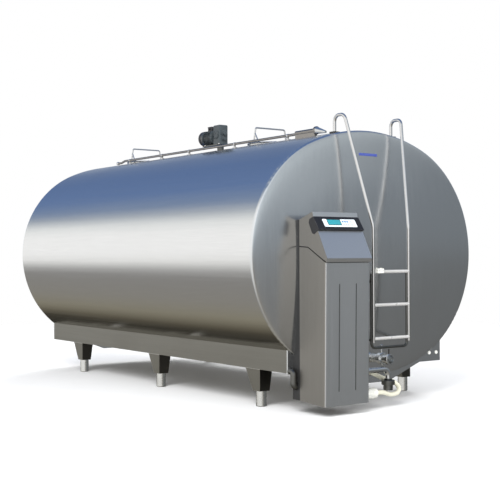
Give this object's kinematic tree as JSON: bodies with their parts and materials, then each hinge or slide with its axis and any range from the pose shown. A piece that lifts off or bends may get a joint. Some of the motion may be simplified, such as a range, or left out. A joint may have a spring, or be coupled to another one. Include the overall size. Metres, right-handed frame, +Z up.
{
  "type": "horizontal milk cooling tank",
  "caption": "Long oval insulated steel milk tank lying on two skirt beams and short round feet, with a control cabinet, ladder, crown fittings and outlet at one end.",
  "frame": {"origin": "on the floor under the middle of the whole outline", "axes": "+X along the tank to the end with the cabinet, ladder and outlet; +Y to the side away from the cabinet; +Z up"},
  "size_m": [4.387, 2.24, 2.341],
  "materials": {
    "shell_steel": "long brushed grain, satin",
    "end_steel": "brushed, satin",
    "skirt_steel": "dull brushed, a little grime",
    "leg_steel": "bright turned tube",
    "cabinet_steel": "fine vertical grain",
    "cabinet_core": "dark satin",
    "bezel_black": "black, lightly textured",
    "panel_white": "printed film",
    "lid_steel": "satin",
    "tube_steel": "polished tube",
    "pipe_steel": "polished sanitary tube",
    "dark_steel": "dull, darkened",
    "machine_grey": "grey-green enamel",
    "motor_black": "moulded",
    "pad_rubber": "black",
    "fitting_white": "moulded",
    "hose_cream": "smooth food hose"
  },
  "bodies": {
    "root": {"agitator_base": "dark_steel", "agitator_fan_cover": "motor_black", "agitator_gearbox": "machine_grey", "agitator_motor": "machine_grey", "cabinet_cover": "cabinet_steel", "cabinet_frame": "cabinet_core", "cabinet_head": "cabinet_steel", "display_bezel": "bezel_black", "display_panel": "panel_white", "feet": "leg_steel", "foot_brackets": "skirt_steel", "front_apron": "end_steel", "front_end": "end_steel", "hose_fitting": "fitting_white", "ladder_backing": "dark_steel", "ladder_hook_pads": "pad_rubber", "ladder_left_rail": "tube_steel", "ladder_right_rail": "tube_steel", "ladder_rungs": "tube_steel", "left_beam": "skirt_steel", "lid_hoops": "tube_steel", "manway_lids": "lid_steel", "manway_rings": "lid_steel", "outlet_clamp": "tube_steel", "outlet_pipe": "pipe_steel", "outlet_spout": "pipe_steel", "outlet_valve": "pipe_steel", "rear_apron": "end_steel", "rear_end": "end_steel", "return_pipe": "pipe_steel", "return_union": "dark_steel", "right_beam": "skirt_steel", "service_pipe": "dark_steel", "shell_belly": "shell_steel", "shell_crown_front": "shell_steel", "shell_crown_middle": "shell_steel", "shell_crown_rear": "shell_steel", "shell_left_haunch": "shell_steel", "shell_left_lower_flank": "shell_steel", "shell_left_shoulder": "shell_steel", "shell_left_upper_flank": "shell_steel", "shell_right_haunch": "shell_steel", "shell_right_lower_flank": "shell_steel", "shell_right_shoulder": "shell_steel", "shell_right_upper_flank": "shell_steel", "wash_hose": "hose_cream", "wash_inlet": "tube_steel", "wash_inlet_cone": "pipe_steel", "wash_rail": "tube_steel"}
  },
  "joints": []
}
